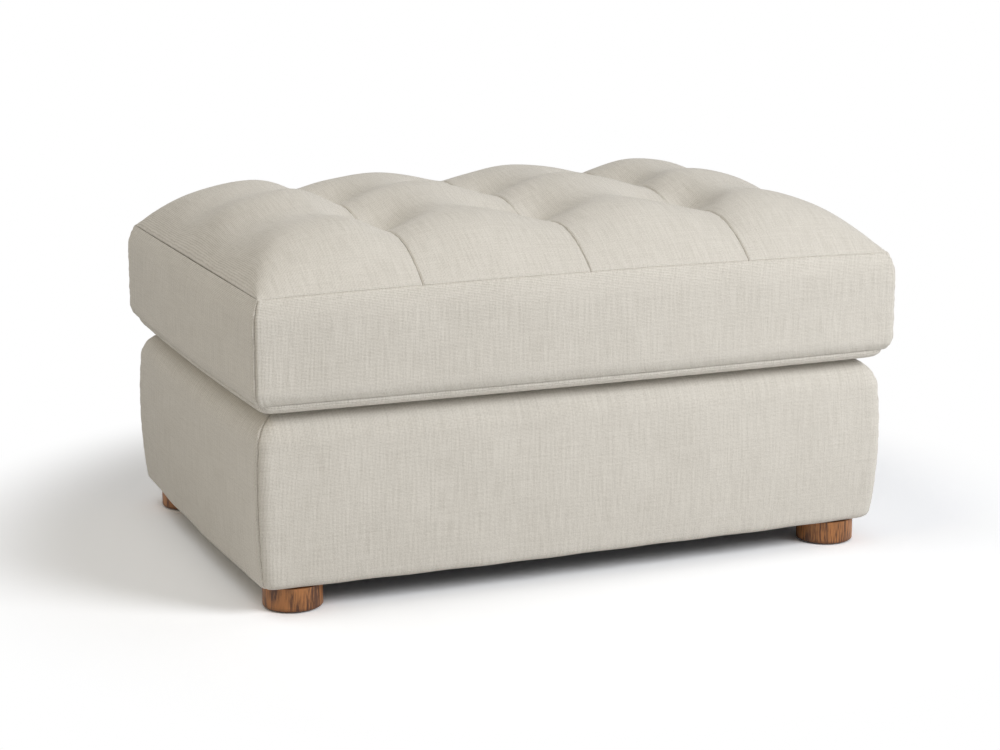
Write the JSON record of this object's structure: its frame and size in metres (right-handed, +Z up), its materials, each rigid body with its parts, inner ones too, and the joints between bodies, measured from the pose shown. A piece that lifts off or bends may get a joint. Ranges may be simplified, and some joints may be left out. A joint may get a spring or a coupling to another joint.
{
  "type": "upholstered footstool",
  "caption": "Low rectangular padded footstool on short round wooden feet, with a loose lift-off cushion that is seamed into strips and tufted on top.",
  "frame": {"origin": "on the floor under the middle of the stool", "axes": "+Z up; the long side runs along X; the front faces -Y"},
  "size_m": [0.8502, 0.6008, 0.4599],
  "materials": {
    "cover_cloth": "matte",
    "foam": "matte",
    "fibre": "matte",
    "hessian": "matte",
    "dust_cloth": "matte",
    "tie_cord": "matte",
    "felt": "matte",
    "zip_cloth": "matte",
    "foot_oak": "satin",
    "frame_pine": "matte",
    "dowel_beech": "matte",
    "hardboard": "matte",
    "spring_steel": "satin",
    "bright_steel": "satin",
    "zip_metal": "satin",
    "zip_nylon": "satin"
  },
  "bodies": {
    "base": {"front_bottom_rail": "frame_pine", "front_top_rail": "frame_pine", "front_facing": "hardboard", "front_padding": "foam", "base_front_cover": "cover_cloth", "back_bottom_rail": "frame_pine", "back_top_rail": "frame_pine", "back_facing": "hardboard", "back_padding": "foam", "base_back_cover": "cover_cloth", "left_bottom_rail": "frame_pine", "left_top_rail": "frame_pine", "left_facing": "hardboard", "left_padding": "foam", "base_left_cover": "cover_cloth", "right_bottom_rail": "frame_pine", "right_top_rail": "frame_pine", "right_facing": "hardboard", "right_padding": "foam", "base_right_cover": "cover_cloth", "corner_posts": "frame_pine", "middle_uprights": "frame_pine", "cross_rail": "frame_pine", "rail_dowels": "dowel_beech", "zigzag_springs": "spring_steel", "spring_clips": "bright_steel", "spring_tie_wires": "spring_steel", "deck_hessian": "hessian", "deck_foam": "foam", "deck_panel": "cover_cloth", "dust_cover": "dust_cloth", "foot_front_left": "foot_oak", "foot_front_right": "foot_oak", "foot_back_left": "foot_oak", "foot_back_right": "foot_oak", "felt_glides": "felt", "hanger_bolts": "bright_steel", "threaded_inserts": "bright_steel"},
    "cushion": {"cushion_top_strip_left": "cover_cloth", "cushion_top_strip_mid_left": "cover_cloth", "cushion_top_strip_mid_right": "cover_cloth", "cushion_top_strip_right": "cover_cloth", "cushion_front_border": "cover_cloth", "cushion_left_border": "cover_cloth", "cushion_right_border": "cover_cloth", "cushion_back_border_upper": "cover_cloth", "cushion_back_border_lower": "cover_cloth", "cushion_bottom_panel": "cover_cloth", "cushion_foam_core": "foam", "cushion_fibre_topper": "fibre", "tuft_ties": "tie_cord", "zip_tapes": "zip_cloth", "zip_chain": "zip_nylon"},
    "zip_slider": {"zip_slider": "zip_metal"},
    "zip_pull": {"zip_pull": "zip_metal"}
  },
  "joints": [
    {"name": "cushion_lift", "type": "slide", "parent": "base", "child": "cushion", "axis": [0, 0, 1], "range_m": [0, 0.3]},
    {"name": "zip_slide", "type": "slide", "parent": "cushion", "child": "zip_slider", "axis": [1, 0, 0], "range_m": [0, 0.536]},
    {"name": "zip_pull_hinge", "type": "hinge", "parent": "zip_slider", "child": "zip_pull", "pos_m": [-0.268, 0.30003, 0.318], "axis": [1, 0, 0], "range_deg": [0, 170]}
  ]
}
